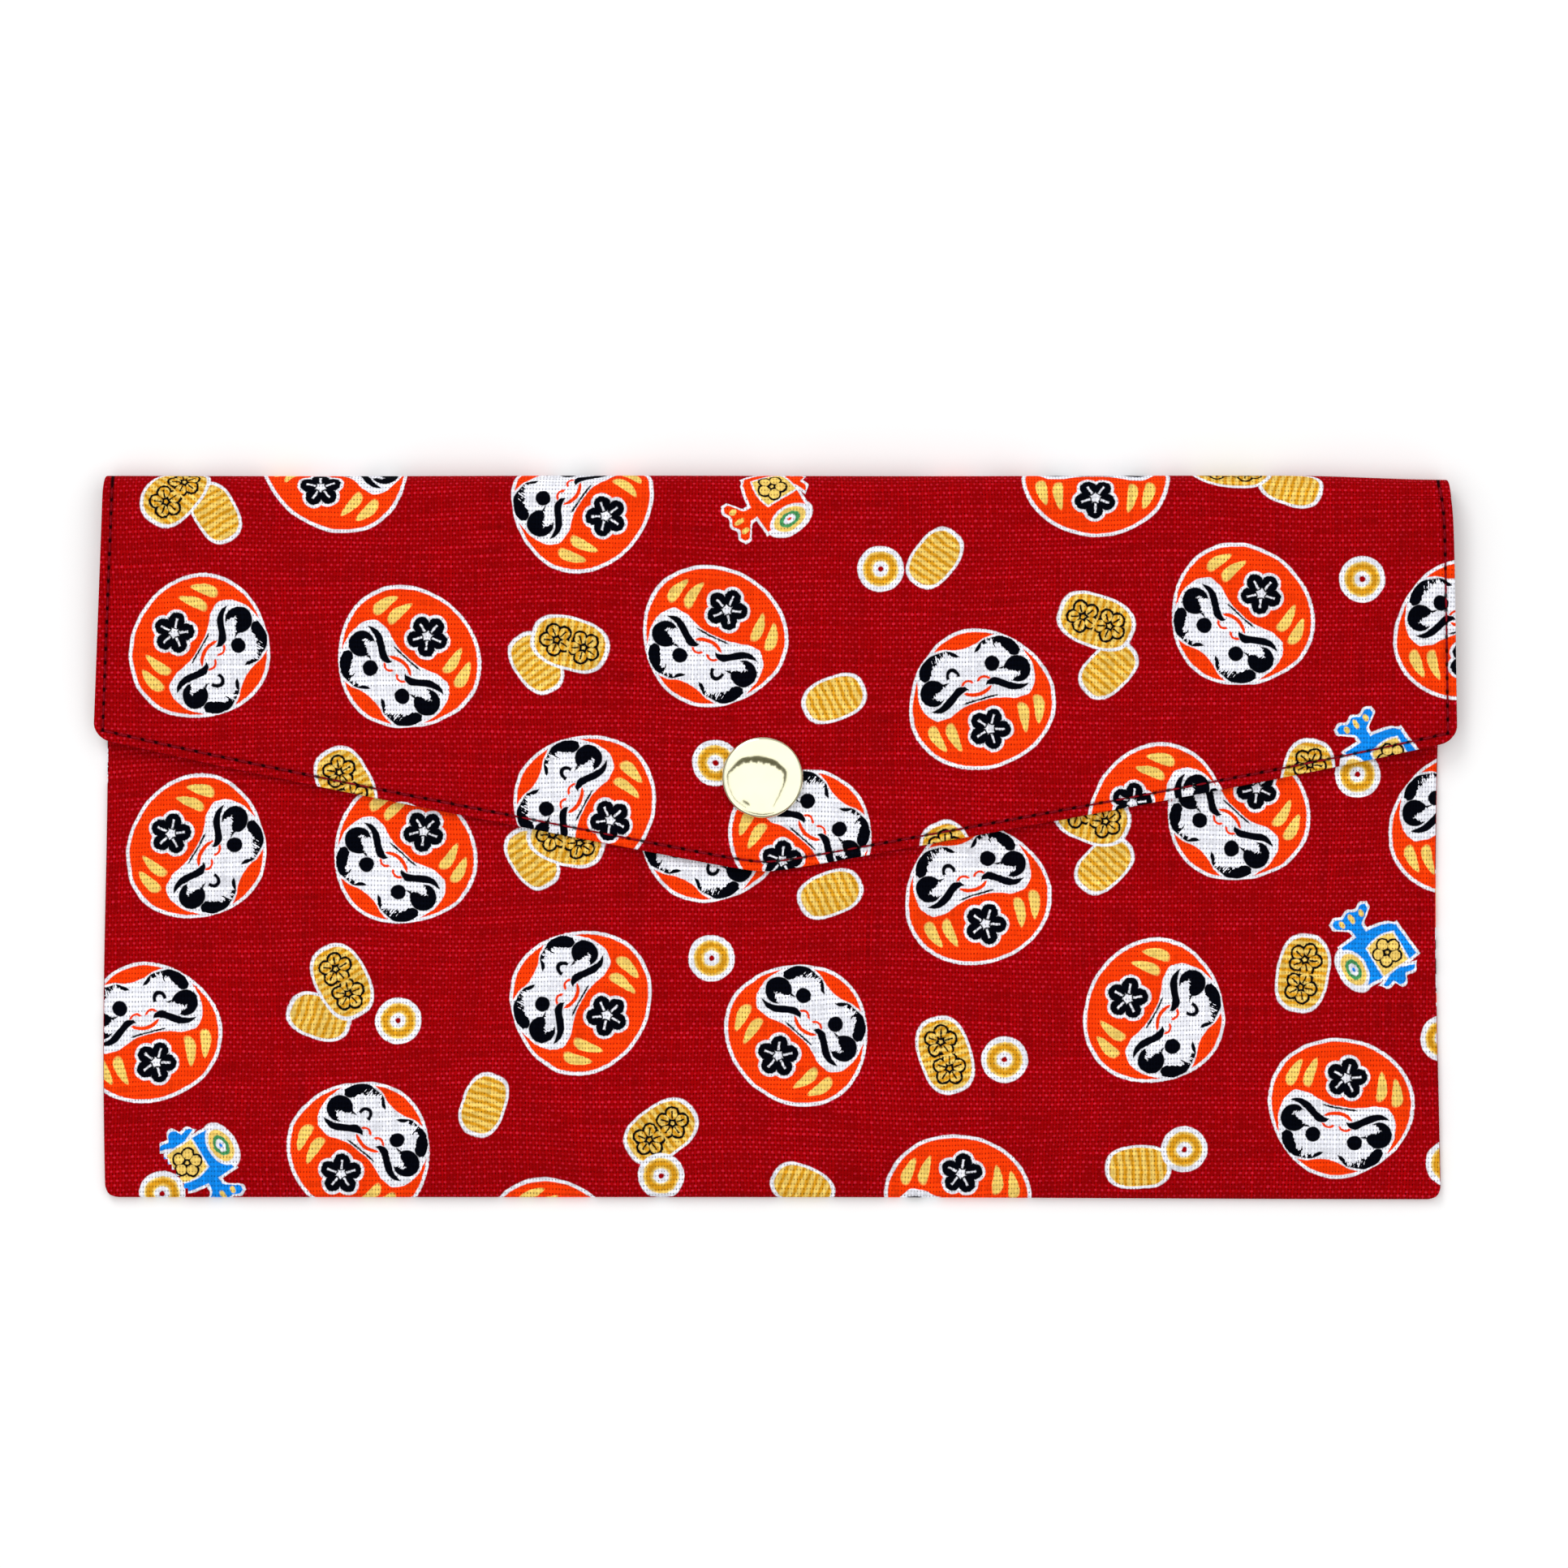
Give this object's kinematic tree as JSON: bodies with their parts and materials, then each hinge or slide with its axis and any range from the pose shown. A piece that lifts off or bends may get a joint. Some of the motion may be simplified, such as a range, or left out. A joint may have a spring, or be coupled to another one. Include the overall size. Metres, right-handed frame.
{
  "type": "fabric envelope pouch",
  "caption": "Flat printed cotton envelope pouch for banknotes, with a pointed fold-over flap held shut by a domed snap.",
  "frame": {"origin": "middle of the underside, where the closed pouch rests on its back", "axes": "+X across the pouch's width, +Y up towards the top fold, +Z out of the front that carries the flap and the snap"},
  "size_m": [0.1882, 0.1, 0.0082],
  "materials": {
    "printed_cotton": "plain weave, crimson ground with an opaque print",
    "interfacing": "thin matt non-woven",
    "lining_cotton": "plain weave, plain dark red",
    "thread": "dark crimson spun sewing thread",
    "gilt_brass": "polished pale gold plating",
    "spring_steel": "bright wire"
  },
  "bodies": {
    "pocket": {"back_outer_cloth": "printed_cotton", "back_interfacing": "interfacing", "back_lining": "lining_cotton", "front_outer_cloth": "printed_cotton", "front_interfacing": "interfacing", "front_lining": "lining_cotton", "left_seam_thread": "thread", "right_seam_thread": "thread", "mouth_topstitch": "thread", "mouth_bobbin_thread": "thread", "snap_stud": "gilt_brass", "stud_post": "gilt_brass"},
    "flap": {"flap_outer_cloth": "printed_cotton", "flap_interfacing": "interfacing", "flap_lining": "lining_cotton", "flap_topstitch": "thread", "flap_bobbin_thread": "thread", "snap_cap": "gilt_brass", "cap_rivet": "gilt_brass", "snap_socket": "gilt_brass", "snap_spring": "spring_steel"}
  },
  "joints": [
    {"name": "flap_fold", "type": "hinge", "parent": "pocket", "child": "flap", "pos_m": [0, 0.05, 0.00335], "axis": [-1, 0, 0], "range_deg": [0, 179.9], "deforming": ["snap_spring"]}
  ]
}
